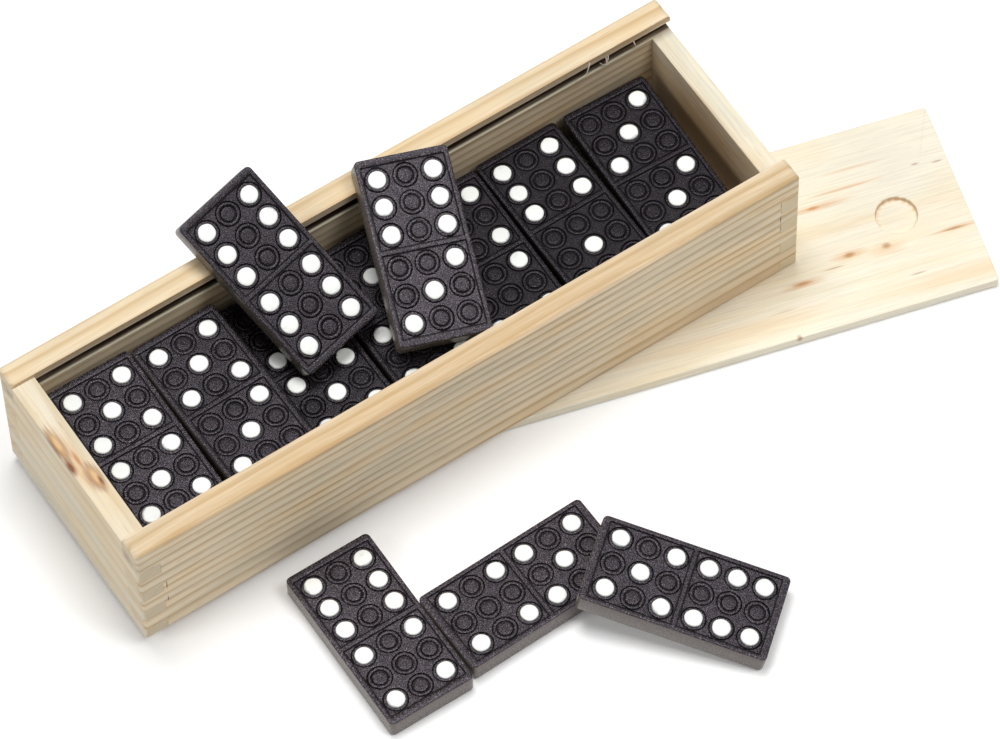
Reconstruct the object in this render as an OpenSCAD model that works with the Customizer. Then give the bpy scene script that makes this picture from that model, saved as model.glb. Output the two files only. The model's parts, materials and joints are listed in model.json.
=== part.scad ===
// Wooden domino storage box with a sliding lid and a double-six set of stamped wooden dominoes.
// The box lies on its drawn-out lid. Three dominoes lie on the table in front and two lean inside.
// Millimetres. +X runs along the box, +Y from its front to its back, +Z up from the table.
// The origin is on the table under the middle of the box.

/* [Box] */
// Length of the box outside
box_len = 150; // [147:1:190]
// Width of the box outside
box_wid = 49.7; // [49:0.1:60]
// Height of the side walls
box_high = 31.8; // [31:0.2:42]
// Thickness of the two side walls
side_t = 5.1; // [4.2:0.1:5.3]
// Thickness of the closed end wall, which stops the lid
closed_end_t = 5; // [4:0.1:6]
// Thickness of the open end wall, which the lid passes over
open_end_t = 4.3; // [3.5:0.1:6]
// How far the closed end wall stays below the side walls
closed_end_drop = 0.85; // [0.2:0.05:1.5]
// Rounding of the sanded outer corners, long edges and lower edges
corner_r = 0.8; // [0.3:0.1:1.2]
// Rounding of the side walls' upper corners at both ends
end_r = 1.2; // [0.4:0.1:1.6]

/* [Lid groove] */
// Thickness of the lip above the groove
lip_t = 2.1; // [1.8:0.1:3]
// Height of the groove
groove_high = 2.7; // [2.6:0.1:3.6]
// Depth of the groove in each side wall
groove_deep = 1.8; // [1.2:0.1:2.4]

/* [Finger joints] */
// Levels of fingers at each corner, an odd number so that the end walls hold top and bottom
finger_levels = 7; // [5:2:9]
// How far the topmost fingers stay below the groove's floor
finger_drop = 1.8; // [0:0.1:2.5]

/* [Bottom panel] */
// Thickness of the bottom panel
panel_t = 2.9; // [2:0.1:4]
// How far the panel sits above the walls' lower edges
panel_rise = 1.7; // [1:0.1:2.5]
// How deep the panel is let into each wall
panel_let = 1.5; // [1:0.1:2]

/* [Lid] */
// Thickness of the lid
lid_t = 2.4; // [1.8:0.1:2.5]
// Clearance of the lid at each side of the groove
lid_side_gap = 0.4; // [0.2:0.05:0.6]
// Clearance of the lid at the closed end
lid_end_gap = 0.2; // [0.1:0.05:0.5]
// Rounding of the lid's corners
lid_r = 0.8; // [0.2:0.1:1.5]
// Diameter of the round thumb recess
thumb_d = 8.4; // [7:0.1:12]
// Depth of the thumb recess
thumb_deep = 1.2; // [0.6:0.1:1.5]
// Distance of the thumb recess from the lid's open end
thumb_in = 14; // [10:0.1:25]
// How far the thumb recess lies off the lid's middle line
thumb_off = 0.7; // [0:0.1:1.5]

/* [Lid on the table] */
// How far the lid's middle lies to the right of the box's middle
lid_out = 41.2; // [30:0.1:60]
// How far the lid's middle lies towards the front
lid_fore = 10.9; // [0:0.1:14]
// Angle by which the lid is turned clockwise from above
lid_turn = 15.09; // [0:0.01:20]

/* [Domino] */
// Width of a domino
tile_wid = 18.7; // [15.5:0.1:18.8]
// Length of a domino
tile_len = 37.6; // [32:0.1:37.8]
// Thickness of a domino, without its pips
tile_t = 4.65; // [4:0.05:5.6]
// Rounding of a domino's corners, seen from above
tile_r = 1; // [0.5:0.1:2]
// Width of the chamfer that eases a domino's top edges
tile_ease = 0.3; // [0.1:0.05:0.5]
// Width of the rim along the sides of a domino
rim_side = 1.2; // [0.8:0.05:1.5]
// Width of the rim across the ends of a domino
rim_end = 1.75; // [1:0.05:2]
// Width of the bar between the two halves
bar_wid = 1.4; // [1:0.05:2]
// Depth of the stamped field below the rim
field_deep = 0.25; // [0.1:0.05:0.5]
// Space between neighbouring rings
ring_gap = 0.45; // [0.2:0.05:0.6]
// Space between the outer rings and the rim
ring_margin = 0.05; // [0.05:0.05:0.2]
// Width of the ring round each button, from its outer line to the button
ring_band = 0.7; // [0.5:0.05:0.9]
// Width of a stamped line
line_wid = 0.3; // [0.2:0.05:0.4]
// Depth of a stamped line below the field
line_deep = 0.4; // [0.2:0.05:0.8]
// How far a pip stands above the rim
pip_proud = 0.25; // [0.1:0.05:0.5]

/* [Packing of the dominoes] */
// Gap between the closed end wall and the first column
first_gap = 0.55; // [0.2:0.05:1]
// Gap kept between any column and the side walls
wall_gap = 0.2; // [0.1:0.05:0.4]
// Usual gap between neighbouring columns
column_gap = 0.85; // [0.8:0.01:1]
// Gap between layers, measured over the pips
layer_gap = 0.05; // [0.02:0.01:0.2]
// Gap where a leaning domino rests on an edge or on pips
lean_gap = 0.1; // [0.05:0.05:0.4]
// Gap between dominoes that lie end to side on the table
touch_gap = 0.4; // [0.4:0.05:1]
// Gap between the tipped domino on the table and the corner that carries it
carry_gap = 0.3; // [0.1:0.05:0.5]

/* [Hidden] */
$fn = 64;

pine = "#ecd3a8";
pale_pine = "#f3e7c9";
shaded_pine = "#d9bd8e";
black_wood = "#2c292b";
enamel = "#f4f6f4";

// Heights above the walls' lower edges
groove_floor = box_high - lip_t - groove_high;
panel_top = panel_rise + panel_t;
finger_high = (groove_floor - finger_drop) / finger_levels;
// The box stands on the lid
base_z = lid_t;
wall_top_z = base_z + box_high;
inner_wid = box_wid - 2 * side_t;
inner_back_y = inner_wid / 2;
lid_wid = inner_wid + 2 * groove_deep - 2 * lid_side_gap;
lid_len = box_len - closed_end_t - lid_end_gap;
// Overlap of cutting shapes past the surface that they cut
over = 1;

half_field_len = tile_len / 2 - bar_wid / 2 - rim_end;
field_wid = tile_wid - 2 * rim_side;
field_mid = bar_wid / 2 + half_field_len / 2;
// Three rings fill a field across, and they are spread over its length
ring_d = (field_wid - 2 * ring_gap - 2 * ring_margin) / 3;
button_d = ring_d - 2 * ring_band;
pitch_across = (field_wid - ring_d) / 2 - ring_margin;
pitch_along = (half_field_len - ring_d) / 2 - ring_margin;
line_floor = tile_t - field_deep - line_deep;
layer_pitch = tile_t + pip_proud + layer_gap;

// Places of the pips in one half, as [across, along] from -1 to 1, for each value.
// The same list serves both halves, because a half is stamped without being turned.
PIPS = [
    [],
    [[0, 0]],
    [[1, 1], [-1, -1]],
    [[1, 1], [0, 0], [-1, -1]],
    [[-1, 1], [1, 1], [-1, -1], [1, -1]],
    [[-1, 1], [1, 1], [0, 0], [-1, -1], [1, -1]],
    [[-1, 1], [-1, 0], [-1, -1], [1, 1], [1, 0], [1, -1]]
];

// Columns from the closed end: [shift along, slack across, turn, values from the bottom up].
// The slack is the share of the free space across the box by which a column lies towards the back.
COLUMNS = [
    [0.15, 0.03, -0.3, [[0, 0], [1, 2], [0, 5], [5, 5]]],
    [0.03, -1, 1.55, [[1, 1], [0, 3], [2, 4], [5, 3]]],
    [-0.12, -0.08, 1.05, [[0, 1], [1, 5], [2, 5]]],
    [0, 0.1, 0.3, [[2, 2], [0, 6], [3, 4]]],
    [0.34, -0.63, -0.75, [[0, 2], [2, 6], [4, 4]]],
    [0.14, 0.03, 0.6, [[1, 3], [0, 4], [6, 1]]],
    [0.22, -0.67, -1.9, [[1, 4], [2, 3], [3, 3]]]
];
COLUMN_LAYERS = 3;

// Dominoes that lean on the back wall: [column, shift from it, reach inside the wall, turn, values]
LEANING = [
    [2, 1.33, -5.78, 12.83, [6, 6]],
    [3, 8.24, -16.16, -17.76, [6, 3]]
];

// Dominoes on the table: middle of the first one, then how the next two lie against it
FIRST_OUT = 37.5;
FIRST_FORE = 4.7;
SECOND_FORE = 7.44;
SECOND_TURN = 91.84;
THIRD_TURN = 40.2;
THIRD_REACH = 28.4;
THIRD_SIDE = 3.4;

function domino_name(t) = str("domino_", t[0], "_", t[1]);
function column_x(i) =
    -box_len / 2 + closed_end_t + first_gap + tile_wid / 2 + i * (tile_wid + column_gap);
function column_y(c) =
    c[1] * ((inner_wid - tile_len * cos(c[2]) - tile_wid * abs(sin(c[2]))) / 2 - wall_gap);
function turned(p, a) = [p[0] * cos(a) - p[1] * sin(a), p[0] * sin(a) + p[1] * cos(a)];

// A rectangle about the origin with its four corners rounded
module rounded_outline(len_x, len_y, r) {
    x = len_x / 2 - r;
    y = len_y / 2 - r;
    square([len_x, 2 * y], center = true);
    square([2 * x, len_y], center = true);
    for (sx = [-1, 1])
        for (sy = [-1, 1])
            translate([sx * x, sy * y])
                circle(r = r);
}

// ---------------------------------------------------------------- box

// Outline of the whole box seen from the front, its upper and lower corners sanded round
module box_elevation() {
    top_x = box_len / 2 - end_r;
    foot_x = box_len / 2 - corner_r;
    translate([-box_len / 2, corner_r])
        square([box_len, box_high - end_r - corner_r]);
    translate([-foot_x, 0])
        square([2 * foot_x, box_high - end_r]);
    translate([-top_x, 0])
        square([2 * top_x, box_high]);
    for (side = [-1, 1]) {
        translate([side * top_x, box_high - end_r])
            circle(r = end_r);
        translate([side * foot_x, corner_r])
            circle(r = corner_r);
    }
}

// The sanded block that every wall is part of, rounded in plan, in elevation and across
module sanded_block() {
    intersection() {
        linear_extrude(box_high)
            rounded_outline(box_len, box_wid, corner_r);
        translate([0, box_wid / 2 + over, 0])
            rotate([90, 0, 0])
                linear_extrude(box_wid + 2 * over)
                    box_elevation();
        translate([-box_len / 2 - over, 0, box_high / 2])
            rotate([90, 0, 90])
                linear_extrude(box_len + 2 * over)
                    rounded_outline(box_wid, box_high, corner_r);
    }
}

// Space that the bottom panel takes, which every wall has as a groove
module panel_space() {
    len = box_len - closed_end_t - open_end_t + 2 * panel_let;
    wid = inner_wid + 2 * panel_let;
    mid_x = (closed_end_t - open_end_t) / 2;
    translate([mid_x - len / 2, -wid / 2, panel_rise])
        cube([len, wid, panel_t]);
}

// Fingers of both end walls at one corner side: every even level, as long as the end wall is thick
module end_fingers(x0, thick) {
    for (level = [0 : 2 : finger_levels - 1])
        translate([x0, -box_wid / 2 - over, level * finger_high])
            cube([thick, box_wid + 2 * over, finger_high]);
}

// Section of the back wall across the box, with its lip and groove
module side_section() {
    difference() {
        translate([inner_back_y, 0])
            square([side_t, box_high]);
        translate([inner_back_y - over, groove_floor])
            square([groove_deep + over, groove_high]);
    }
}

// A side wall on the +Y side: the groove stops at the closed end wall's inner face
module side_wall() {
    difference() {
        intersection() {
            union() {
                translate([-box_len / 2, 0, 0])
                    rotate([90, 0, 90])
                        linear_extrude(box_len)
                            side_section();
                translate([-box_len / 2, inner_back_y, groove_floor])
                    cube([closed_end_t, groove_deep, groove_high]);
            }
            sanded_block();
        }
        end_fingers(-box_len / 2 - over, closed_end_t + over);
        end_fingers(box_len / 2 - open_end_t, open_end_t + over);
        panel_space();
    }
}

// An end wall: a board between the side walls with fingers that reach out through them
module end_wall(x0, thick, high) {
    difference() {
        intersection() {
            union() {
                translate([x0, -inner_wid / 2, 0])
                    cube([thick, inner_wid, high]);
                end_fingers(x0, thick);
            }
            sanded_block();
        }
        panel_space();
    }
}

module back_wall() {
    color(pine)
        translate([0, 0, base_z])
            side_wall();
}

module front_wall() {
    color(pine)
        translate([0, 0, base_z])
            mirror([0, 1, 0])
                side_wall();
}

module closed_end_wall() {
    color(shaded_pine)
        translate([0, 0, base_z])
            end_wall(-box_len / 2, closed_end_t, box_high - closed_end_drop);
}

module open_end_wall() {
    color(shaded_pine)
        translate([0, 0, base_z])
            end_wall(box_len / 2 - open_end_t, open_end_t, groove_floor);
}

module bottom_panel() {
    color(pine)
        translate([0, 0, base_z])
            panel_space();
}

// The lid about its own middle, its open end to the right
module lid_board() {
    difference() {
        linear_extrude(lid_t)
            rounded_outline(lid_len, lid_wid, lid_r);
        translate([lid_len / 2 - thumb_in, -thumb_off, lid_t - thumb_deep])
            cylinder(d = thumb_d, h = thumb_deep + over);
    }
}

module lid() {
    color(pale_pine)
        translate([lid_out, -lid_fore, 0])
            rotate([0, 0, -lid_turn])
                lid_board();
}

// ---------------------------------------------------------------- dominoes

// Section of a board with its two top edges eased, standing on the X axis
module eased_section(wid) {
    polygon([
        [-wid / 2, 0],
        [wid / 2, 0],
        [wid / 2, tile_t - tile_ease],
        [wid / 2 - tile_ease, tile_t],
        [tile_ease - wid / 2, tile_t],
        [-wid / 2, tile_t - tile_ease]
    ]);
}

// The blank of a domino: rounded seen from above, eased along all four top edges
module blank() {
    intersection() {
        linear_extrude(tile_t)
            rounded_outline(tile_wid, tile_len, tile_r);
        translate([0, tile_len / 2, 0])
            rotate([90, 0, 0])
                linear_extrude(tile_len)
                    eased_section(tile_wid);
        translate([-tile_wid / 2, 0, 0])
            rotate([90, 0, 90])
                linear_extrude(tile_wid)
                    eased_section(tile_len);
    }
}

module stamped_ring(d) {
    difference() {
        circle(d = d);
        circle(d = d - 2 * line_wid);
    }
}

// Nine places in each half, each with a ring and a button stamped as two fine lines
module stamped_lines() {
    for (half = [-1, 1])
        for (i = [-1 : 1])
            for (j = [-1 : 1])
                translate([i * pitch_across, half * field_mid + j * pitch_along]) {
                    stamped_ring(ring_d);
                    stamped_ring(button_d);
                }
}

// Pips of one half, discs of enamel on the buttons
module half_pips(value, half) {
    for (p = PIPS[value])
        translate([p[0] * pitch_across, half * field_mid + p[1] * pitch_along, line_floor])
            cylinder(d = button_d, h = tile_t + pip_proud - line_floor);
}

// A domino lying flat about its own middle, the first value towards +Y
module domino(t) {
    color(black_wood)
        difference() {
            blank();
            for (half = [-1, 1])
                translate([0, half * field_mid, tile_t - field_deep + over / 2])
                    cube([field_wid, half_field_len, over], center = true);
            translate([0, 0, line_floor])
                linear_extrude(line_deep + over)
                    stamped_lines();
        }
    color(enamel) {
        half_pips(t[0], 1);
        half_pips(t[1], -1);
    }
}

// A stacked domino: layer 0 lies on the bottom panel
module stacked(i, layer) {
    c = COLUMNS[i];
    translate([column_x(i) + c[0], column_y(c), base_z + panel_top + layer_gap + layer * layer_pitch])
        rotate([0, 0, c[2]])
            domino(c[3][layer]);
}

// A leaning domino: it pivots on the back wall's inner top edge until its low corner meets the pips below
module leaning(l) {
    low = l[2] - tile_len / 2 * cos(l[3]) - tile_wid / 2 * abs(sin(l[3]));
    pips_z = base_z + panel_top + COLUMN_LAYERS * layer_pitch;
    tilt = asin((wall_top_z - pips_z) / -low);
    translate([column_x(l[0]) + l[1], inner_back_y, wall_top_z + lean_gap])
        rotate([tilt, 0, 0])
            translate([0, l[2], 0])
                rotate([0, 0, l[3]])
                    domino(l[4]);
}

// Middle of the first and second dominoes on the table
first_x = -FIRST_OUT;
first_y = -box_wid / 2 - FIRST_FORE - tile_len / 2;
second_x = first_x + tile_wid / 2 + touch_gap + tile_len / 2;
second_y = first_y - SECOND_FORE;
// The second domino's corner that carries the third
carrier = [second_x, second_y] + turned([-tile_wid / 2, -tile_len / 2], SECOND_TURN);
third_foot = carrier - turned([THIRD_SIDE, THIRD_REACH], THIRD_TURN);
third_tilt = atan((tile_t + pip_proud + carry_gap) / THIRD_REACH);

module domino_6_4() {
    translate([first_x, first_y, 0])
        domino([6, 4]);
}

module domino_4_5() {
    translate([second_x, second_y, 0])
        rotate([0, 0, SECOND_TURN])
            domino([4, 5]);
}

module domino_5_6() {
    translate([third_foot[0], third_foot[1], 0])
        rotate([0, 0, THIRD_TURN])
            rotate([third_tilt, 0, 0])
                translate([0, tile_len / 2, 0])
                    domino([5, 6]);
}

front_wall();
back_wall();
closed_end_wall();
open_end_wall();
bottom_panel();
lid();
for (i = [0 : len(COLUMNS) - 1])
    for (layer = [0 : len(COLUMNS[i][3]) - 1])
        stacked(i, layer);
for (l = LEANING)
    leaning(l);
domino_6_4();
domino_4_5();
domino_5_6();
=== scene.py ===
import json
import math
import re

import bmesh
import bpy
import numpy as np
from mathutils import Euler, Matrix, Vector


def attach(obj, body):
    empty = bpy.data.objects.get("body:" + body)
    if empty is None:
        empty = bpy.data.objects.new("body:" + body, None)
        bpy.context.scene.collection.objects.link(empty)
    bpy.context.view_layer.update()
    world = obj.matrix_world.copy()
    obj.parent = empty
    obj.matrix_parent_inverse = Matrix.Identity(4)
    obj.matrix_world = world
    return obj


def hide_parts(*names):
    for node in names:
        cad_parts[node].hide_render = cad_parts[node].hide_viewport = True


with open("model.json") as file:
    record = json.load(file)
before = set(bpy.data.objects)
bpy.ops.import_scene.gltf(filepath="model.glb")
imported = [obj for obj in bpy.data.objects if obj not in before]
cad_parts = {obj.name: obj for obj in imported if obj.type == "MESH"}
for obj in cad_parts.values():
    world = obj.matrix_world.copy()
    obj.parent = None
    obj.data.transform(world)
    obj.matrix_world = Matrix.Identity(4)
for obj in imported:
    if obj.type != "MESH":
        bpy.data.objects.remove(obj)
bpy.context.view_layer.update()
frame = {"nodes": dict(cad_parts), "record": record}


# ---------------------------------------------------------------- Bottom panel
# A thin pine board let into grooves in all four walls. It is planed on both
# faces and left raw, and its grain runs along the box.

mm_per_m = 1000


def new_material(name):
    """A material, with its node tree and its Principled shader."""
    material = bpy.data.materials.new(name)
    material.use_nodes = True
    tree = material.node_tree
    return material, tree, tree.nodes["Principled BSDF"]


def add_node(tree, kind, ins=(), **settings):
    """Adds one shader node. ins pairs a socket's name or number with a value or another node's output."""
    node = tree.nodes.new("ShaderNode" + kind)
    for name, value in settings.items():
        setattr(node, name, value)
    for socket, value in dict(ins).items():
        target = node.inputs[socket]
        if isinstance(value, bpy.types.NodeSocket):
            tree.links.new(value, target)
        else:
            target.default_value = value
    return node


def sums(tree, operation, a, b=0.0, c=0.0):
    """One Math node's output."""
    return add_node(tree, "Math", {0: a, 1: b, 2: c}, operation=operation).outputs[0]


def vector_sums(tree, operation, a, b=(0, 0, 0), c=(0, 0, 0)):
    """One Vector Math node's vector output."""
    return add_node(tree, "VectorMath", {0: a, 1: b, 2: c}, operation=operation).outputs[0]


def vector_length(tree, vector):
    """The length of a vector."""
    return add_node(tree, "VectorMath", {0: vector}, operation="LENGTH").outputs["Value"]


def stretched(tree, place, scale, shift=(0, 0, 0)):
    """A place scaled by its own factor on each axis, then shifted."""
    return add_node(tree, "Mapping", {"Vector": place, "Scale": scale, "Location": shift}).outputs[0]


def noise(tree, place, scale, detail, rough=0.5, output="Fac"):
    """Cloudy noise at a place, about 0.5 on average."""
    ins = {"Vector": place, "Scale": scale, "Detail": detail, "Roughness": rough}
    return add_node(tree, "TexNoise", ins).outputs[output]


def ramp(tree, value, stops):
    """A Color Ramp's output: stops are (place, colour), and a colour may be one grey number."""
    node = add_node(tree, "ValToRGB", {"Fac": value})
    band = node.color_ramp
    for n, (place, colour) in enumerate(stops):
        stop = band.elements[n] if n < 2 else band.elements.new(place)
        stop.position = place
        stop.color = (*colour, 1) if isinstance(colour, tuple) else (colour, colour, colour, 1)
    return node.outputs["Color"]


def blend_colours(tree, share, a, b, how="MIX"):
    """A colour Mix node's output: b over a, by share."""
    node = tree.nodes.new("ShaderNodeMix")
    node.data_type = "RGBA"
    node.blend_type = how
    for socket, value in ((node.inputs[0], share), (node.inputs[6], a), (node.inputs[7], b)):
        if isinstance(value, bpy.types.NodeSocket):
            tree.links.new(value, socket)
        elif isinstance(value, tuple):
            socket.default_value = (*value, 1)
        else:
            socket.default_value = value
    return node.outputs[2]


def paint(hex_colour):
    """A colour as it shows, written #rrggbb, as the linear numbers that a socket takes."""
    shown = [int(hex_colour[n:n + 2], 16) / 255 for n in (1, 3, 5)]
    return tuple(c / 12.92 if c <= 0.04045 else ((c + 0.055) / 1.055) ** 2.4 for c in shown)


def raise_surface(tree, shader, height, strength, distance):
    """Bumps a shader's surface by a height pattern. distance is in metres for a height of 1."""
    bump = add_node(tree, "Bump", {"Height": height, "Strength": strength, "Distance": distance})
    tree.links.new(bump.outputs[0], shader.inputs["Normal"])


def year_bands(tree, board, slow, pith, spacing, wander, strength):
    """How much late wood there is at a place, 0 to strength. Year rings are tubes about the tree's pith,
    a line along the grain through (y, z) = pith, so long faces show stripes and cut ends show arcs. A
    year's width is spacing on average. It is pale for its first half, darkest at nine tenths, and then
    drops back."""
    # The trunk isn't quite straight: slow noise shifts the rings sideways
    drift = noise(tree, slow, 1.0, 3.0, output="Color")
    drift = vector_sums(tree, "SUBTRACT", drift, (0.5, 0.5, 0.5))
    shifted = vector_sums(tree, "MULTIPLY_ADD", drift, (0, wander * 4, wander * 4), board)
    from_pith = vector_sums(tree, "SUBTRACT", shifted, (0, *pith))
    radius = vector_length(tree, vector_sums(tree, "MULTIPLY", from_pith, (0, 1, 1)))
    # Years differ in width and in depth of colour
    ins = {"W": sums(tree, "MULTIPLY", radius, 0.15), "Scale": 1.0, "Detail": 0.0}
    years = add_node(tree, "TexNoise", ins, noise_dimensions="1D").outputs[0]
    phase = sums(tree, "MULTIPLY_ADD", radius, 1 / spacing, sums(tree, "MULTIPLY", years, 0.4))
    year = [(0.0, 0.4), (0.08, 0.05), (0.35, 0.0), (0.55, 0.2), (0.75, 0.65), (0.9, 1.0), (1.0, 0.4)]
    band = ramp(tree, sums(tree, "FRACT", phase), year)
    fade = ramp(tree, noise(tree, slow, 2.3, 2.0), [(0.3, 0.65), (0.6, 1.0)])
    return sums(tree, "MULTIPLY", sums(tree, "MULTIPLY", band, fade), strength)


def put_marks(tree, colour, marks, board, fibre, cut):
    """Lays stains, knots and cracks over a colour, in turn. Each is (place, half sizes, depth, tint), and
    its depth falls off over an ellipsoid whose edge is frayed by the fibres. None shows on a cut end."""
    frayed = sums(tree, "MULTIPLY_ADD", fibre, 0.9, -0.45)
    long_side = sums(tree, "SUBTRACT", 1.0, cut)
    for place, half, depth, tint in marks:
        spot = stretched(tree, board, [1 / h for h in half], shift=[-c / h for c, h in zip(place, half)])
        near = ramp(tree, sums(tree, "ADD", vector_length(tree, spot), frayed), [(0.3, depth), (1.0, 0.0)])
        near = sums(tree, "MULTIPLY", near, long_side)
        colour = blend_colours(tree, near, colour, paint(tint))
    return colour


def pine(name, pith, turn=0.0, middle=(0, 0, 0), spacing=3.4, wander=0.9, early="#ecd6b2", late="#d9b688",
         ends="#dcc8a8", strength=1.0, canals=0.4, clouds=1.0, marks=()):
    """Sawn pine as a solid pattern in mm on the board. Its middle is at middle, and its grain runs along
    +X turned back by turn (degrees about Z). early and late are the colours of a year's two halves, and
    ends is that of the cut ends. strength, canals and clouds say how strongly the years, the resin canals
    and the clouds show."""
    material, tree, shader = new_material(name)
    where = add_node(tree, "TexCoord")
    spin = (0, 0, math.radians(turn))
    board = add_node(tree, "Mapping", {
        "Vector": where.outputs["Object"],
        "Rotation": spin,
        "Scale": (mm_per_m, mm_per_m, mm_per_m),
        "Location": tuple(-(Matrix.Rotation(spin[2], 3, "Z") @ Vector(middle))),
    }).outputs[0]
    slow = stretched(tree, board, (0.014, 0.05, 0.05))
    band = year_bands(tree, board, slow, pith, spacing, wander, strength)
    colour = blend_colours(tree, band, paint(early), paint(late))
    # Fine fibres
    fibre = noise(tree, stretched(tree, board, (0.05, 1.6, 1.6)), 1.6, 6.0, 0.65)
    colour = blend_colours(tree, 1.0, colour, ramp(tree, fibre, [(0.3, 0.86), (0.62, 1.0)]), "MULTIPLY")
    # Short dark resin canals
    canal = noise(tree, stretched(tree, board, (0.2, 2.6, 2.6), shift=(3, 7, 1)), 1.0, 1.0)
    canal = ramp(tree, canal, [(0.68, 0.0), (0.76, canals)])
    colour = blend_colours(tree, canal, colour, paint("#b48a5a"))
    # Clouds tens of millimetres long, a little greyer or more orange
    greyer, plain, warmer = (0.9, 0.92, 0.93), (1.0, 1.0, 1.0), (1.0, 0.93, 0.82)
    cloud = ramp(tree, noise(tree, slow, 3.1, 2.0), [(0.32, greyer), (0.5, plain), (0.68, warmer)])
    colour = blend_colours(tree, clouds, colour, cloud, "MULTIPLY")
    # Cut ends are greyer and drink more light
    ins = {"Vector": where.outputs["Normal"], "Rotation": spin}
    facing = add_node(tree, "Mapping", ins, vector_type="VECTOR").outputs[0]
    along_grain = add_node(tree, "SeparateXYZ", {0: facing}).outputs[0]
    cut = ramp(tree, sums(tree, "ABSOLUTE", along_grain), [(0.75, 0.0), (0.95, 0.75)])
    colour = blend_colours(tree, cut, colour, paint(ends))
    colour = put_marks(tree, colour, marks, board, fibre, cut)
    tree.links.new(colour, shader.inputs["Base Color"])
    tree.links.new(ramp(tree, fibre, [(0.2, 0.7), (0.8, 0.55)]), shader.inputs["Roughness"])
    height = sums(tree, "MULTIPLY_ADD", fibre, 0.7, sums(tree, "MULTIPLY", band, 0.35))
    raise_surface(tree, shader, height, 0.35, 0.00012)
    shader.inputs["Specular IOR Level"].default_value = 0.3
    return material


# The panel's CAD shape stays, and takes its material on every face
panel = frame["nodes"]["bottom_panel"].data
panel.materials.clear()
panel.materials.append(pine("panel_pine", pith=(-3, -95)))


# ---------------------------------------------------------------- End walls
# Two pine boards between the side walls, sawn with four fingers a side that
# reach out through them. The one at the open end is low, so the lid runs over it.

seam = 1e-6  # points nearer than this (m) are one point


def sanded_copy(name, material, rubbed, body):
    """A copy of a CAD node, with its flat faces whole again and its sharp edges rubbed down. rubbed is how
    far, in metres."""
    mesh = frame["nodes"][name].data.copy()
    build = bmesh.new()
    build.from_mesh(mesh)
    bmesh.ops.remove_doubles(build, verts=build.verts, dist=seam)
    bmesh.ops.dissolve_limit(build, angle_limit=math.radians(0.5), verts=build.verts, edges=build.edges)
    build.to_mesh(mesh)
    build.free()
    mesh.materials.clear()
    mesh.materials.append(material)
    mesh.shade_smooth()
    piece = bpy.data.objects.new(name + "_sanded", mesh)
    bpy.context.scene.collection.objects.link(piece)
    edges = piece.modifiers.new("rubbed edges", "BEVEL")
    edges.width = rubbed
    edges.segments = 2
    edges.limit_method = "ANGLE"
    edges.angle_limit = math.radians(35)
    edges.use_clamp_overlap = True
    faces = piece.modifiers.new("flat faces", "WEIGHTED_NORMAL")
    faces.weight = 100
    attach(piece, body)
    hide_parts(name)
    return piece


wall_rub = 0.00012
knot_brown, knot_heart, resin_orange = "#7d4a2c", "#dfba88", "#b8763c"
# A knot sawn through lengthways on the closed end's top edge: brown outlines round two paler hearts
knot = [
    ((-1.0, -73.3, 33.3), (9.5, 2.3, 2.0), 0.5, "#dcab72"),
    ((-4.5, -74.2, 33.3), (5.4, 1.5, 1.6), 0.95, knot_brown),
    ((-4.8, -74.0, 33.3), (3.9, 0.85, 1.6), 0.95, knot_heart),
    ((1.0, -74.5, 33.3), (2.6, 0.9, 1.2), 0.95, knot_brown),
    ((0.2, -72.6, 33.3), (2.8, 0.5, 1.2), 0.7, resin_orange),
    ((5.4, -71.8, 33.3), (4.4, 1.8, 2.0), 0.95, "#8f5731"),
    ((5.2, -71.7, 33.3), (3.0, 1.05, 2.0), 0.95, knot_heart),
    ((6.4, -71.2, 33.3), (1.5, 0.5, 1.2), 0.8, knot_brown),
]
# The open end's inner face is painted darker and browner: painted shade inside the box
shaded_inner_face = [((0, 70.7, 15), (30, 0.9, 24), 0.8, "#a98150")]
closed_pine = pine("closed_pine", pith=(-30, -20), turn=90, early="#eadfc8", late="#ddcaa8", ends="#cfbd9f",
                   strength=0.8, marks=knot)
open_pine = pine("open_pine", pith=(8, -40), turn=90, early="#f3e9d2", late="#e6d3b0", ends="#dac7a4",
                 strength=0.5, canals=0.2, marks=shaded_inner_face)
sanded_copy("closed_end_wall", closed_pine, wall_rub, "box")
sanded_copy("open_end_wall", open_pine, wall_rub, "box")


# ---------------------------------------------------------------- Side walls
# Two long pine boards with a groove for the lid, stopped at the closed end, and
# sockets that the end walls' fingers are glued into. Their top edges are sanded.

# Saw cuts at the sockets' inner ends run a little past the fingers, and show as thin dark gaps on the front
# wall: place along, height, half width, half height, depth
gap_shade, front_face, gap_reach = "#5c4430", -24.9, 0.6
gaps = (
    (70.65, 27.4, 0.16, 1.3, 0.9), (70.6, 22.5, 0.16, 2.0, 0.9), (70.6, 19.0, 0.16, 1.0, 0.9),
    (-70.1, 25.9, 0.16, 2.2, 0.9), (-69.25, 18.5, 0.16, 2.0, 0.9), (-69.3, 13.2, 0.16, 1.2, 0.9),
    (72.9, 28.1, 2.6, 0.14, 0.85), (73.2, 18.75, 2.2, 0.12, 0.6),
    (-72.4, 27.85, 2.5, 0.12, 0.6), (-72.0, 20.4, 2.8, 0.12, 0.5),
)
socket_gaps = [((x, front_face, z), (half_x, gap_reach, half_z), depth, gap_shade)
               for x, z, half_x, half_z, depth in gaps]
# Low on the front face, most at its right end, the pine is painted warmer and more orange: painted
# reflected light, the warm bounce off the lid
painted_lid_bounce = [
    ((62, front_face, 3), (30, 3, 7), 0.3, "#d8a468"),
    ((20, front_face, 2), (60, 3, 3), 0.25, "#c99a64"),
]
front_top = [
    ((0, -22.3, 34.8), (190, 4.2, 1.6), 0.75, "#ccab7d"),
    ((0, -25.0, 34.9), (160, 1.3, 1.5), 0.6, "#bf915c"),
]
back_top = [
    ((0, 22.3, 34.8), (190, 4.2, 1.6), 0.6, "#ddc296"),
    ((0, 25.0, 34.9), (160, 1.2, 1.4), 0.5, "#d9b37e"),
]


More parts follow.
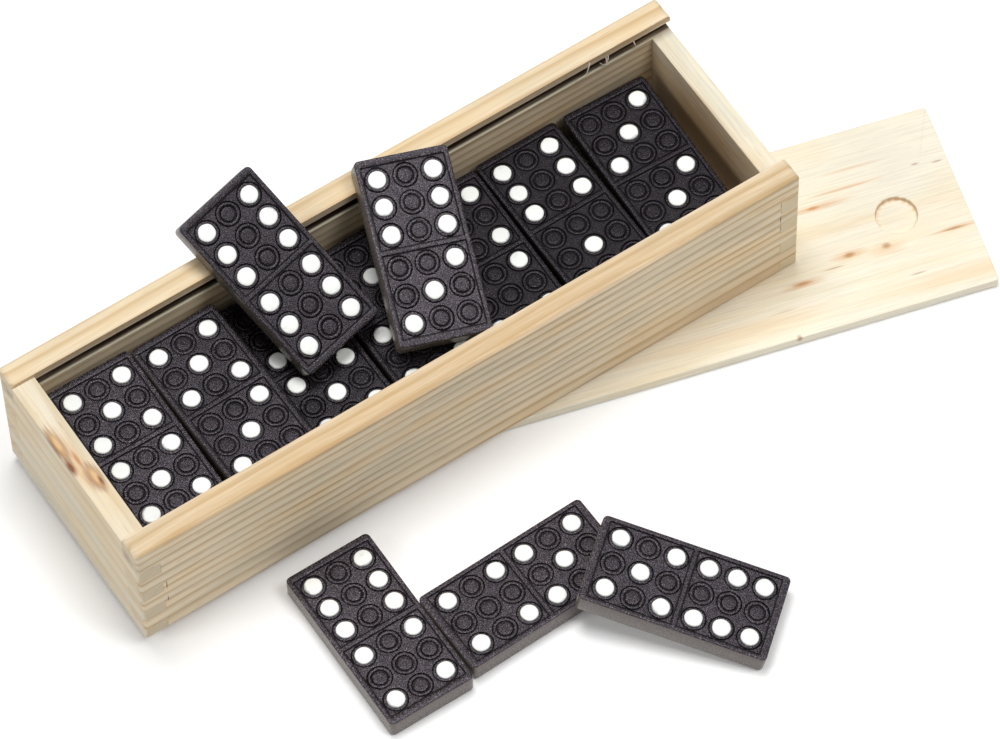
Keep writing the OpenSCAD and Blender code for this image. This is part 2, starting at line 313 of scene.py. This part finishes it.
def groove_shade_and_highlight(side):
    """Painted light in a side wall's groove: the lip's face is painted a little browner as shade, the
    groove is painted dark brown as the shade under the lip, and a pale strip along its floor's open edge is
    a painted highlight. side is -1 for the front wall and 1 for the back wall."""
    return [
        ((0, side * 19.6, 33.0), (190, 1.1, 1.5), 0.25, "#b98a63"),
        ((0, side * 21.6, 30.2), (190, 3.4, 2.6), 1.0, "#1c110a"),
        ((0, side * 21.2, 29.6), (190, 1.6, 1.4), 1.0, "#2a180c"),
        ((0, side * 19.7, 29.35), (140, 0.6, 0.5), 0.95, "#fff4d8"),
    ]


front_pine = pine("front_pine", pith=(40, -42), spacing=1.85, wander=0.6, early="#f3e2c5", late="#ccb084",
                  ends="#d6c4a8", marks=socket_gaps + painted_lid_bounce + front_top + groove_shade_and_highlight(-1))
back_pine = pine("back_pine", pith=(-40, -40), spacing=1.95, wander=0.6, early="#f3e2c4", late="#d0b084",
                 ends="#d6c4a8", marks=groove_shade_and_highlight(1) + back_top)
sanded_copy("front_wall", front_pine, wall_rub, "box")
sanded_copy("back_wall", back_pine, wall_rub, "box")


# ---------------------------------------------------------------- Torn fibres
# The cutter that made the back wall's groove left a few wood hairs standing
# on the edge of the lip, near the open end. Each is still rooted in the wall.

hair_thick, hair_tip = 0.32, 0.35  # mm at the root, and the share of that at the free end
hair_rows, hair_sides = 25, 6
# Corners of each hair's path from its root, in mm
hair_curves = [
    [(56.2, 19.95, 33.4), (56.0, 19.55, 33.3), (55.6, 19.5, 32.2), (55.2, 19.4, 30.6), (54.7, 19.4, 30.2),
     (53.7, 19.5, 30.2), (52.8, 19.6, 29.8)],
    [(60.5, 19.95, 32.2), (60.3, 19.6, 31.3), (60.0, 19.5, 30.5), (59.7, 19.4, 29.9), (59.3, 19.4, 30.1),
     (58.4, 19.6, 31.5)],
    [(59.9, 19.95, 32.2), (59.9, 19.5, 31.2), (59.6, 19.4, 30.4), (60.2, 19.4, 29.6)],
    [(66.4, 19.95, 32.2), (66.5, 19.6, 31.4), (66.9, 19.5, 29.8)],
]


def put_in(name, points, faces, material, body):
    """Makes an object of points in metres and faces, shades it smooth, and lets it ride on a body."""
    mesh = bpy.data.meshes.new(name)
    mesh.from_pydata(points.tolist(), [], faces)
    mesh.materials.append(material)
    mesh.shade_smooth()
    piece = bpy.data.objects.new(name, mesh)
    bpy.context.scene.collection.objects.link(piece)
    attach(piece, body)
    return piece


def strip(rows, columns, first, closed):
    """The four-sided faces of a grid of points, which are numbered from first, row by row. closed joins
    each row's last point to its first."""
    here = np.arange(columns if closed else columns - 1)[None]
    row = first + np.arange(rows - 1)[:, None] * columns
    beside = (here + 1) % columns
    below = row + columns
    return np.stack([row + beside, row + here, below + here, below + beside], axis=2).reshape(-1, 4)


def wood_hair(corners):
    """A round thread along a curve through corners: straight lines between the corners are smoothed by
    averaging neighbours ten times, and the radius falls evenly to hair_tip at the free end. Returns
    points in mm, and faces."""
    corners = np.array(corners)
    reach = np.append(0, np.cumsum(np.linalg.norm(np.diff(corners, axis=0), axis=1)))
    along = np.linspace(0, reach[-1], hair_rows)
    path = np.stack([np.interp(along, reach, c) for c in corners.T], axis=1)
    for _ in range(10):
        path[1:-1] = (path[:-2] + 2 * path[1:-1] + path[2:]) / 4
    forward = np.gradient(path, axis=0)
    forward /= np.linalg.norm(forward, axis=1)[:, None]
    aside = np.cross(forward, (0, 1, 0.2))
    aside /= np.linalg.norm(aside, axis=1)[:, None]
    outward = np.cross(forward, aside)
    turn = np.linspace(0, 2 * np.pi, hair_sides, endpoint=False)[None, :, None]
    radius = (hair_thick / 2 * np.linspace(1, hair_tip, hair_rows))[:, None, None]
    skin = path[:, None] + radius * (np.cos(turn) * aside[:, None] + np.sin(turn) * outward[:, None])
    count = hair_rows * hair_sides
    ends = [list(range(hair_sides)), list(range(count - 1, count - 1 - hair_sides, -1))]
    return skin.reshape(-1, 3), strip(hair_rows, hair_sides, 0, True).tolist() + ends


# The hairs are painted near white, paler than the walls' pine, so that they stand out lit over the groove's
# dark: partly painted highlight
hair_pine = pine("hair_pine", pith=(0, 0), early="#fffaf0", late="#f8eedb")
for order, corners in enumerate(hair_curves):
    points, faces = wood_hair(corners)
    put_in(f"wood_hair_{order}", points / mm_per_m, faces, hair_pine, "box")


# ---------------------------------------------------------------- Lid
# A pale pine board that slides in the two grooves, with a shallow round recess
# near its open end for a thumb. It is drawn right out, and the box stands on it.

lid_rub, lid_top = 0.00025, 2.4
knot_eye, dash_brown, streak_orange, cloud_orange = "#94683a", "#9c6a3c", "#dca468", "#eccb9c"
# Knots, resin streaks and short brown dashes: place along and across, half length, half width, depth, tint
lid_marks = [((x, y, lid_top), (long, wide, 1.5), depth, tint) for x, y, long, wide, depth, tint in (
    (46.5, -6.4, 1.5, 0.7, 0.85, knot_eye), (46.5, -6.4, 4.5, 1.3, 0.5, streak_orange),
    (54.1, -6.8, 1.3, 0.9, 0.8, knot_eye), (54.2, -7.4, 5.0, 1.8, 0.45, "#e6b888"),
    (43.3, 6.0, 1.6, 0.5, 0.8, resin_orange), (44.0, 6.0, 9.0, 1.0, 0.55, streak_orange),
    (51.5, 8.5, 10.0, 0.5, 0.5, streak_orange), (53.0, 12.4, 8.0, 0.35, 0.4, streak_orange),
    (65.8, 9.2, 1.2, 0.3, 0.6, dash_brown), (70.2, 8.4, 1.5, 0.3, 0.5, dash_brown),
    (68.5, -7.2, 6.0, 0.6, 0.6, streak_orange), (68.0, -7.2, 2.5, 0.4, 0.5, dash_brown),
    (35.6, -9.7, 2.6, 0.5, 0.8, dash_brown), (35.6, -9.8, 5.0, 1.1, 0.5, streak_orange),
    (42.8, -8.3, 2.5, 0.25, 0.5, dash_brown), (57.9, -14.7, 2.2, 0.25, 0.45, dash_brown),
    (30.5, -14.5, 3.5, 0.3, 0.3, dash_brown), (66.0, -17.5, 22.0, 2.6, 0.45, cloud_orange),
    (60.0, 0.0, 40.0, 1.6, 0.2, cloud_orange), (20.0, -16.0, 30.0, 2.0, 0.3, cloud_orange),
    (31.0, -21.2, 0.8, 1.0, 0.7, dash_brown))]
# The recess's far wall is painted darker and more orange: painted shade in the hollow
recess_x, recess_y, recess_wall = 58.4, -0.7, 4.1
lid_marks += [((recess_x + recess_wall * math.cos(a), recess_y + recess_wall * math.sin(a), 1.7),
               (1.0, 1.0, 0.75), 0.7, streak_orange) for a in np.radians(np.arange(10, 191, 20))]
lid_pine = pine("lid_pine", pith=(14, -28), turn=15.09, middle=(41.2, -10.9, 0), spacing=3.8, wander=2.5,
                early="#faf2de", late="#f7ecd0", strength=0.7, canals=0.1, clouds=0.45, marks=lid_marks)
sanded_copy("lid", lid_pine, lid_rub, "lid")


# ---------------------------------------------------------------- Dominoes
# Twenty-eight blocks of wood, stained black and stamped hot: each half has nine
# rings with a button in each, a sunk line round the field, and a bar between the halves.

tile_wide, tile_long, tile_thick = 18.7, 37.6, 4.65
corner_round, least_round, edge_ease = 1.0, 0.15, 0.3
# A half's stamped field: half its width, its start and end from the middle of the domino, and its level
field_side, field_start, field_end = 8.15, 0.7, 17.05
field_level = tile_thick - 0.25
line_floor = field_level - 0.16
ring_step_x, ring_step_y, field_middle = 5.55, 5.575, 8.875
# Section of one stamped ring from its middle outwards: radius, height over the field, how far its edge rubs
# pale (wear, and partly painted glints on the edges), and how dark it is painted, blackest in the grooves
ring_section = np.array([
    (0.75, 0.0, 0, 0), (1.2, -0.02, 0.1, 0), (1.36, -0.08, 0.6, 0.1), (1.43, -0.3, 0, 1),
    (1.53, -0.4, 0, 1), (1.63, -0.36, 0, 1), (1.71, -0.1, 0.6, 0.4), (1.8, 0.01, 1, 0),
    (2.02, 0.05, 0.6, 0), (2.24, 0.02, 0.9, 0), (2.32, -0.08, 0.8, 0.2), (2.39, -0.32, 0, 1),
    (2.49, -0.38, 0, 1), (2.555, -0.05, 0.5, 0.3),
])
square_tone = (0.15, 0)  # rub and dark where two rings' squares meet
button_dip = 0.02
# Loops from the field out to the rim: distance outside the field, level, and rub, dark and plain
rim_loops = [
    (0, field_level, (0.1, 0.3, 0)), (0.05, line_floor, (0, 1, 0)), (0.22, line_floor, (0, 1, 0)),
    (0.28, tile_thick - 0.06, (0.9, 0.2, 0)), (0.36, tile_thick, (0.5, 0, 0)),
]
mid_rim_tone, rim_edge_tone = (0.05, 0, 0), (0.7, 0, 0)
# Loops from the rim's edge down to the underside: distance inside the domino's outline, level, and the same
side_loops = [
    (edge_ease, tile_thick, rim_edge_tone), (0.17, tile_thick - 0.04, (1, 0, 0)),
    (0.06, tile_thick - 0.13, (0.8, 0, 0.3)), (0, tile_thick - edge_ease, (0.2, 0, 1)),
    (0, 0.3, (0, 0, 1)), (0.04, 0.1, (0, 0, 1)), (0.15, 0, (0, 0, 1)),
]
steps = 10  # divisions of one side of a ring's square
around_ring = 4 * steps
field_steps = 3 * steps
around_field = 4 * field_steps


def domino_pose(name):
    """Where a CAD domino lies, read from its faces: the squares of the face normals, summed by area, have
    the thickness, width and length as their axes. Returns the axes as a matrix's columns, and the middle
    of the underside."""
    mesh = frame["nodes"][name].data
    corner = np.empty(len(mesh.vertices) * 3)
    mesh.vertices.foreach_get("co", corner)
    corner = corner.reshape(-1, 3)
    mesh.calc_loop_triangles()
    face = np.empty(len(mesh.loop_triangles) * 3, int)
    mesh.loop_triangles.foreach_get("vertices", face)
    a, b, c = corner[face.reshape(-1, 3)].transpose(1, 0, 2)
    normal = np.cross(b - a, c - a)
    area = np.linalg.norm(normal, axis=1)
    good = area > 0
    spread = (normal[good] / area[good, None]).T @ normal[good]
    _, axes = np.linalg.eigh(spread)
    length, thickness = axes[:, 0], axes[:, 2]
    # The stamped face has far more points than the underside, so their mean lies towards it
    low, high = (corner @ thickness).min(), (corner @ thickness).max()
    if (corner @ thickness).mean() < (low + high) / 2:
        thickness = -thickness
    # The first value's half points to the back or to the left
    if length @ (-0.5, 1, 0) < 0:
        length = -length
    axes = np.stack([np.cross(length, thickness), length, thickness], axis=1)
    local = corner @ axes
    middle = (local.min(0) + local.max(0)) / 2
    middle[2] = local[:, 2].min()
    return axes, axes @ middle


def square_walk(divisions):
    """Points round a unit square from (0, 0), each side in equal divisions: x and y."""
    t = np.linspace(0, 1, divisions, endpoint=False)
    one, zero = np.ones(divisions), np.zeros(divisions)
    return np.concatenate([t, one, 1 - t, zero]), np.concatenate([zero, t, one, 1 - t])


def ring_square(i, j, chance):
    """One of a half's nine rings in its square. The section is turned about the ring's middle, with its
    radius swelling and shrinking by 1% or so two and three times round, and the last loop of points runs
    round the square that it shares with its neighbours. Returns points (loops, around_ring, 3), and rub
    and dark for each point."""
    x_low, x_high = np.array([-field_side, -ring_step_x / 2, ring_step_x / 2, field_side])[i + 1:i + 3]
    row_edges = field_middle + ring_step_y * np.array([-0.5, 0.5])
    y_low, y_high = np.array([field_start, *row_edges, field_end])[j + 1:j + 3]
    side_x, side_y = square_walk(steps)
    angle = np.radians(-135) + np.linspace(0, 2 * np.pi, around_ring, endpoint=False)
    two, three = chance.uniform(0, 2 * np.pi, 2)
    swell = 1 + chance.uniform(0, 0.014) * np.sin(2 * angle + two)
    swell += chance.uniform(0, 0.01) * np.sin(3 * angle + three)
    radius = ring_section[:, :1] * np.minimum(swell, 1.01)
    shift = chance.uniform(-0.02, 0.02, 2)
    x = i * ring_step_x + shift[0] + radius * np.cos(angle)
    y = field_middle + j * ring_step_y + shift[1] + radius * np.sin(angle)
    # The press bit deeper on one side
    press = chance.uniform(0.75, 1.0) * (1 + 0.12 * np.sin(angle + three))
    z = field_level + ring_section[:, 1:2] * press
    square = np.stack([x_low + side_x * (x_high - x_low), y_low + side_y * (y_high - y_low),
                       np.full(around_ring, field_level)], axis=1)
    points = np.concatenate([np.stack([x, y, z], axis=2), square[None]])
    tone = np.append(ring_section[:, 2:], [square_tone], axis=0)[:, None, :] * np.ones((1, around_ring, 1))
    return points, tone.reshape(-1, 2)


def half_edge(inset):
    """The outline of one half, inset from the domino's own: field_steps points along the middle line, the
    same along each side and along the end, with a quarter circle at both outer corners."""
    r = max(corner_round - inset, least_round)
    x, y = tile_wide / 2 - inset, tile_long / 2 - inset
    n, arc = field_steps, 4
    long_side = np.linspace(0, y - r, n - arc, endpoint=False)
    end_side = np.linspace(x - r, r - x, n - 2 * arc, endpoint=False)
    turn = np.linspace(0, np.pi / 2, 2 * arc, endpoint=False)
    return np.concatenate([
        np.stack([np.linspace(-x, x, n, endpoint=False), np.zeros(n)], axis=1),
        np.stack([np.full(n - arc, x), long_side], axis=1),
        np.stack([x - r + r * np.cos(turn), y - r + r * np.sin(turn)], axis=1),
        np.stack([end_side, np.full(n - 2 * arc, y)], axis=1),
        np.stack([r - x - r * np.sin(turn), y - r + r * np.cos(turn)], axis=1),
        np.stack([np.full(n - arc, -x), y - r - long_side], axis=1),
    ])


def at_level(outline, level):
    """An outline's points in 3D at one height."""
    return np.append(outline, np.full((len(outline), 1), level), axis=1)


def domino_half(chance):
    """The half that holds the first value, in mm about the middle of the domino's underside: nine ring
    squares, then loops that blend the field's outline into the domino's (a fine line, the step up to the
    rim, the flat rim), then the eased edge and the side. Returns points, groups of faces, tone (rub, dark
    and plain for each point), and how many points the lowest loop has."""
    points, groups, tone, count = [], [], [], 0
    ring_turn = np.arange(around_ring)
    for i in (-1, 0, 1):
        for j in (-1, 0, 1):
            ring, look = ring_square(i, j, chance)
            middle = [i * ring_step_x, field_middle + j * ring_step_y, field_level - button_dip]
            points += [[middle], ring.reshape(-1, 3)]
            tone.append(np.pad(look, ((1, 0), (0, 1))))
            first = count + 1
            groups.append(np.stack([np.full(around_ring, count), first + ring_turn,
                                    first + (ring_turn + 1) % around_ring], axis=1))
            groups.append(strip(len(ring), around_ring, first, True))
            count += 1 + len(look)
    side_x, side_y = square_walk(field_steps)
    loops = []
    for out, level, _ in rim_loops:
        x = side_x * 2 * (field_side + out) - field_side - out
        y = side_y * (field_end - field_start + 2 * out) + field_start - out
        loops.append(at_level(np.stack([x, y], axis=1), level))
    edge = at_level(half_edge(edge_ease), tile_thick)
    loops += [(loops[-1] + edge) / 2, edge]
    points.append(np.concatenate(loops))
    looks = [look for _, _, look in rim_loops] + [mid_rim_tone, rim_edge_tone]
    tone.append(np.repeat(looks, around_field, axis=0))
    groups.append(strip(len(loops), around_field, count, True))
    count += len(loops) * around_field
    # The side runs round three sides of the half and stops at the middle line
    outer = np.append(np.arange(field_steps, around_field), 0)
    points += [at_level(half_edge(inset)[outer], level) for inset, level, _ in side_loops]
    tone.append(np.repeat([look for _, _, look in side_loops], len(outer), axis=0))
    groups.append(strip(len(side_loops), len(outer), count, False))
    return np.concatenate(points), groups, np.concatenate(tone), len(outer)


def domino_shape(chance):
    """A whole domino: a half, another turned by half a turn, and one face underneath between their lowest
    loops. Returns points in mm, faces, and tone."""
    points, faces, tone, underside, start = [], [], [], [], 0
    for half in (1, -1):
        some, groups, look, outer = domino_half(chance)
        points.append(some * (half, half, 1))
        faces += [face for group in groups for face in (group + start).tolist()]
        tone.append(look)
        start += len(some)
        underside += list(range(start - outer, start - 1))
    return np.concatenate(points), faces + [underside[::-1]], np.concatenate(tone)


def stained_wood(name, shine):
    """Black stain soaked into wood: a wrinkled, finely cracked skin on the stamped face, blackest in its
    grooves, with pale fibres where an edge has rubbed, which partly stand in for glints on the edges
    (painted highlight), and plain grey sides, painted near black on the darkened dominoes in the box as
    shade between them. The pattern follows the domino's own mm, kept in the attribute block_mm, and the
    attribute tone holds rub, dark and plain. shine is the strength of the gloss."""
    material, tree, shader = new_material(name)
    mm = add_node(tree, "Attribute", attribute_name="block_mm").outputs["Vector"]
    tone = add_node(tree, "Attribute", attribute_name="tone").outputs["Vector"]
    rubbed, dark, side = add_node(tree, "SeparateXYZ", {0: tone}).outputs
    # The relief of the skin: lumps, cells of fine cracks bent out of line, and the wood's grain
    skin = noise(tree, mm, 2.6, 4.0, 0.75)
    bend = noise(tree, mm, 1.3, 2.0, output="Color")
    bent = vector_sums(tree, "MULTIPLY_ADD", bend, (0.9, 0.9, 0.9), mm)
    crack = add_node(tree, "TexVoronoi", {"Vector": bent, "Scale": 1.5, "Randomness": 1.0},
                     feature="DISTANCE_TO_EDGE").outputs["Distance"]
    crack = ramp(tree, crack, [(0.0, 0.0), (0.14, 1.0)])
    grain = noise(tree, stretched(tree, mm, (3.4, 0.6, 3.4)), 1.0, 4.0, 0.6)
    relief = sums(tree, "MULTIPLY_ADD", crack, 0.16, sums(tree, "MULTIPLY_ADD", grain, 0.35, skin))
    top = ramp(tree, relief, [(0.7, paint("#060506")), (0.8, paint("#161215")), (0.89, paint("#2c2629")),
                              (0.98, paint("#5e565b"))])
    # Pale flecks, most of them where it is rubbed: wear, and on the stamped edges partly painted glints
    fleck = ramp(tree, noise(tree, mm, 3.6, 2.0, 0.6), [(0.54, 0.0), (0.7, 0.65)])
    fleck = sums(tree, "MULTIPLY", fleck, sums(tree, "MULTIPLY_ADD", rubbed, 0.75, 0.25))
    top = blend_colours(tree, fleck, top, paint("#a29ca1"))
    blotch = ramp(tree, noise(tree, mm, 0.55, 3.0, 0.6), [(0.3, 0.62), (0.7, 1.15)])
    top = blend_colours(tree, 1.0, top, blotch, "MULTIPLY")
    top = blend_colours(tree, sums(tree, "MULTIPLY", dark, 0.93), top, paint("#060506"))
    # The sawn sides took less stain. Where the tone is shifted dark, on the dominoes in the box, they are
    # painted near black: painted shade in the gaps between the dominoes
    sawn = ramp(tree, grain, [(0.3, paint("#5d5750")), (0.7, paint("#746d65"))])
    sawn = blend_colours(tree, ramp(tree, dark, [(0.0, 0.0), (0.7, 0.92)]), sawn, paint("#0c0a0b"))
    tree.links.new(blend_colours(tree, side, top, sawn), shader.inputs["Base Color"])
    # The skin's lumps are polished, and its grooves are dull
    dull = ramp(tree, skin, [(0.3, 0.34), (0.7, 0.2)])
    dull = sums(tree, "ADD", ramp(tree, dark, [(0.8, 0.0), (1.0, 0.3)]), dull)
    tree.links.new(dull, shader.inputs["Roughness"])
    calm = sums(tree, "MULTIPLY_ADD", side, -0.9, sums(tree, "MULTIPLY_ADD", rubbed, -0.45, 1.0))
    height = sums(tree, "MULTIPLY", sums(tree, "SUBTRACT", relief, 0.85), calm)
    raise_surface(tree, shader, height, 1.0, 0.00013)
    shader.inputs["Specular IOR Level"].default_value = shine
    shader.inputs["Specular Tint"].default_value = (0.97, 0.86, 1.0, 1.0)
    return material


def merge_seams(mesh):
    """Joins points that lie together, which closes the seams between ring squares, loops and halves, and
    keeps the edges that turn by more than 50 degrees sharp."""
    build = bmesh.new()
    build.from_mesh(mesh)
    bmesh.ops.remove_doubles(build, verts=build.verts, dist=seam)
    build.to_mesh(mesh)
    build.free()
    mesh.set_sharp_from_angle(angle=math.radians(50))


black_stain = stained_wood("black_stain", shine=0.48)
deep_stain = stained_wood("deep_stain", shine=0.33)
domino_names = sorted(name for name in frame["nodes"] if name.startswith("domino"))
bodies = frame["record"]["behaviour"]["bodies"]
body_of_node = {node: body for body, nodes in bodies.items() for node in nodes}
poses = {name: domino_pose(name) for name in domino_names}
# Each listed domino is shifted greyer (above 0) or darker (below 0). This is partly wear and partly painted
# sheen and shade: those at the front left are lighter where the lamps' sheen falls, those at the back right
# of the box darker in its shade. The dominoes that aren't listed lie hidden in the layers below
worn_and_painted_sheen = {
    "domino_6_4": 0.35, "domino_6_3": 0.35, "domino_5_5": 0.2, "domino_4_5": 0.15, "domino_5_6": 0.1,
    "domino_6_6": -0.35, "domino_5_3": -0.35, "domino_2_5": -0.5, "domino_3_4": -0.6, "domino_4_4": -0.7,
    "domino_6_1": -0.8, "domino_3_3": -0.7,
}
hidden_shift, dull_shift = -0.6, -0.4  # a domino under dull_shift is painted so dark that it also gets the less glossy stain
pattern_shift = 40  # mm between the parts of the stain's pattern that two dominoes show
for order, name in enumerate(domino_names):
    points, faces, tone = domino_shape(np.random.default_rng(order))
    tone_shift = worn_and_painted_sheen.get(name, hidden_shift)
    tone[:, 0] = np.clip(tone[:, 0] + max(tone_shift, 0), 0, 1)
    tone[:, 1] = np.clip(tone[:, 1] + max(-tone_shift, 0), 0, 1)
    axes, middle = poses[name]
    stain = deep_stain if tone_shift < dull_shift else black_stain
    piece = put_in(name + "_block", points / mm_per_m @ axes.T + middle, faces, stain, body_of_node[name])
    mesh = piece.data
    for attribute, values in (("block_mm", points + (pattern_shift * order, 0, 0)), ("tone", tone)):
        kept = mesh.attributes.new(attribute, "FLOAT_VECTOR", "POINT")
        kept.data.foreach_set("vector", values.astype(np.float32).ravel())
    merge_seams(mesh)
    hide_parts(name)


# ---------------------------------------------------------------- Pips
# White enamel printed thick on the buttons with a pad. Each is a low round
# cushion, never quite round, that stands a little above the rim.

pip_places = {
    1: [(0, 0)],
    2: [(1, 1), (-1, -1)],
    3: [(1, 1), (0, 0), (-1, -1)],
    4: [(-1, 1), (1, 1), (-1, -1), (1, -1)],
    5: [(-1, 1), (1, 1), (0, 0), (-1, -1), (1, -1)],
    6: [(-1, 1), (-1, 0), (-1, -1), (1, 1), (1, 0), (1, -1)],
}
# Section of a pip from its middle outwards and down: radius, height over the underside
pip_section = np.array([
    (0.7, 4.89), (1.3, 4.87), (1.6, 4.84), (1.73, 4.77), (1.8, 4.65), (1.81, 4.35), (1.8, 4.01),
])
# Heights of the points that close it, and how far the section is let down
pip_top, pip_foot, pip_sink = 4.87, 4.01, 0.03
# It leans by up to pip_lean at pip_radius, and strays by up to pip_stray from its button's middle
pip_lean, pip_radius, pip_stray = 0.03, 1.85, 0.07
pip_points = 32
crescent_chance = 0.16
pip_seed = 100


def pip_shape(x, y, chance):
    """A pip on the button at (x, y): its section turned about its middle, the radius swelling and shrinking
    by up to 2% from two to five times round, closed by a point on top and one below. It strays and leans a
    little. Returns points in mm, groups of faces from number 0, and how much painted crescent shade each
    point takes."""
    angle = np.linspace(0, 2 * np.pi, pip_points, endpoint=False)
    waves = np.arange(2, 6)[:, None]
    depths, starts = chance.uniform(0, 0.016, (4, 1)), chance.uniform(0, 2 * np.pi, (4, 1))
    swell = 1 + (depths * np.sin(waves * angle + starts)).sum(0)
    radius = pip_section[:, :1] * swell * chance.uniform(0.97, 1.0)
    x, y = x + chance.uniform(-pip_stray, pip_stray), y + chance.uniform(-pip_stray, pip_stray)
    lean = pip_lean * np.cos(angle - chance.uniform(0, 2 * np.pi)) * radius / pip_radius
    ring = np.stack([x + radius * np.cos(angle), y + radius * np.sin(angle),
                     pip_section[:, 1:] - pip_sink + lean], axis=2)
    rows = len(pip_section)
    points = np.concatenate([[[x, y, pip_top]], ring.reshape(-1, 3), [[x, y, pip_foot]]])
    k = np.arange(pip_points)
    beside, last = (k + 1) % pip_points, 1 + (rows - 1) * pip_points
    top = np.stack([np.zeros_like(k), 1 + k, 1 + beside], axis=1)
    under = np.stack([np.full_like(k, last + pip_points), last + beside, last + k], axis=1)
    # A few pips get a grey crescent on one side of their edge: painted shade where the pip's raised side
    # shows
    crescent_shade = np.zeros((rows, pip_points))
    if chance.uniform() < crescent_chance:
        towards = np.cos(angle - chance.uniform(0, 2 * np.pi))
        crescent_shade = np.clip(radius - 0.9, 0, 1) * np.clip(towards * 3 - 1.6, 0, 1)
    return points, [top, strip(rows, pip_points, 1, True), under], np.pad(crescent_shade.ravel(), 1)


def enamel_paint(name):
    """Thick white enamel: smooth, a little uneven, and grey in patches where the attribute crescent_shade
    says: painted shade at a pip's edge."""
    material, tree, shader = new_material(name)
    where = add_node(tree, "TexCoord")
    mm = stretched(tree, where.outputs["Object"], (mm_per_m, mm_per_m, mm_per_m))
    uneven = noise(tree, mm, 0.8, 4.0, 0.6)
    colour = ramp(tree, uneven, [(0.25, paint("#e2e6e2")), (0.42, paint("#f6f8f4"))])
    crescent_shade = add_node(tree, "Attribute", attribute_name="crescent_shade").outputs["Fac"]
    patchy = sums(tree, "MULTIPLY_ADD", uneven, 1.4, sums(tree, "SUBTRACT", crescent_shade, 0.7))
    patchy = ramp(tree, patchy, [(0.35, 0.0), (0.7, 0.85)])
    colour = blend_colours(tree, sums(tree, "MULTIPLY", patchy, crescent_shade), colour, paint("#8e9494"))
    tree.links.new(colour, shader.inputs["Base Color"])
    tree.links.new(ramp(tree, uneven, [(0.3, 0.5), (0.7, 0.35)]), shader.inputs["Roughness"])
    raise_surface(tree, shader, uneven, 0.4, 0.00015)
    return material


white_enamel = enamel_paint("white_enamel")
for order, name in enumerate(domino_names):
    values = [int(v) for v in re.findall(r"[0-9]", name)]
    chance = np.random.default_rng(pip_seed + order)
    points, faces, crescent_shade, count = [], [], [], 0
    for half, value in zip((1, -1), values):
        for across, along in pip_places.get(value, []):
            x, y = across * ring_step_x, half * field_middle + along * ring_step_y
            pip, groups, pip_crescent = pip_shape(x, y, chance)
            points.append(pip)
            crescent_shade.append(pip_crescent)
            faces += [face for group in groups for face in (group + count).tolist()]
            count += len(pip)
    if points:
        axes, middle = poses[name]
        points = np.concatenate(points) / mm_per_m @ axes.T + middle
        pips = put_in(name + "_pips", points, faces, white_enamel, body_of_node[name])
        kept = pips.data.attributes.new("crescent_shade", "FLOAT", "POINT")
        kept.data.foreach_set("value", np.concatenate(crescent_shade).astype(np.float32))


# ---------------------------------------------------------------- Table and light
# The box stands on a plain white table top. Three wide soft lamps light it: one
# overhead, one like a window at the front, and a weaker one at the side.

table_half, table_level = 3, -0.0002  # m
table_lit, table_seen = (0.9, 0.9, 0.9), (0.98, 0.98, 0.98)
no_light, plain_white = (0.0, 0.0, 0.0), (1.0, 1.0, 1.0)
# The camera, and gloss that mirrors the table, see it whiter than it lights the box
table_paint, tree, shader = new_material("table_paint")
ray = add_node(tree, "LightPath").outputs
seen = sums(tree, "MAXIMUM", ray["Is Camera Ray"],
            sums(tree, "MAXIMUM", ray["Is Glossy Ray"], ray["Is Transmission Ray"]))
tree.links.new(blend_colours(tree, seen, table_lit, table_seen), shader.inputs["Base Color"])
tree.links.new(blend_colours(tree, seen, no_light, plain_white), shader.inputs["Emission Color"])
shader.inputs["Emission Strength"].default_value = 0.08
shader.inputs["Roughness"].default_value = 0.9

mesh = bpy.data.meshes.new("table")
corners = [(x * table_half, y * table_half, table_level) for x, y in ((-1, -1), (1, -1), (1, 1), (-1, 1))]
mesh.from_pydata(corners, [], [(0, 1, 2, 3)])
mesh.materials.append(table_paint)
table = bpy.data.objects.new("table", mesh)
bpy.context.scene.collection.objects.link(table)

world = bpy.data.worlds.new("room")
bpy.context.scene.world = world
world.use_nodes = True
room_light = world.node_tree.nodes["Background"].inputs
room_light["Color"].default_value = (1, 1, 1, 1)
room_light["Strength"].default_value = 0.25


def lamp(name, place, size, power):
    """A square area lamp at place (m), size metres wide, that shines power watts at the box's middle."""
    light = bpy.data.lights.new(name, "AREA")
    light.shape = "SQUARE"
    light.size = size
    light.energy = power
    holder = bpy.data.objects.new(name, light)
    holder.location = place
    holder.rotation_euler = (-Vector(place)).to_track_quat("-Z", "Y").to_euler()
    bpy.context.scene.collection.objects.link(holder)


lamp("overhead", (0.05, 0.22, 1.3), 0.5, 9.1)
lamp("window", (0.38, -0.46, 1.15), 0.5, 5.4)
lamp("side", (-0.9, 0.12, 0.75), 0.4, 2.4)

bpy.context.scene.view_settings.view_transform = "Standard"


# ---------------------------------------------------------------- Camera
# It looks down at about 60 degrees from the front and the left, through a long
# lens that keeps the box's long edges nearly parallel.

eye = (-0.3130319, -0.5447624, 1.0740988)  # m
# Turns about X, Y and Z in that order, in degrees, from looking straight down
tilt, lean, heading = 30.20077, 1.04155, -33.30955
lens = bpy.data.cameras.new("camera")
lens.sensor_width = 36
lens.lens = 229.8403
lens.clip_start = 0.05
camera = bpy.data.objects.new("camera", lens)
bpy.context.scene.collection.objects.link(camera)
turns = Euler([math.radians(angle) for angle in (tilt, lean, heading)])
camera.matrix_world = Matrix.LocRotScale(Vector(eye), turns, None)
bpy.context.scene.camera = camera
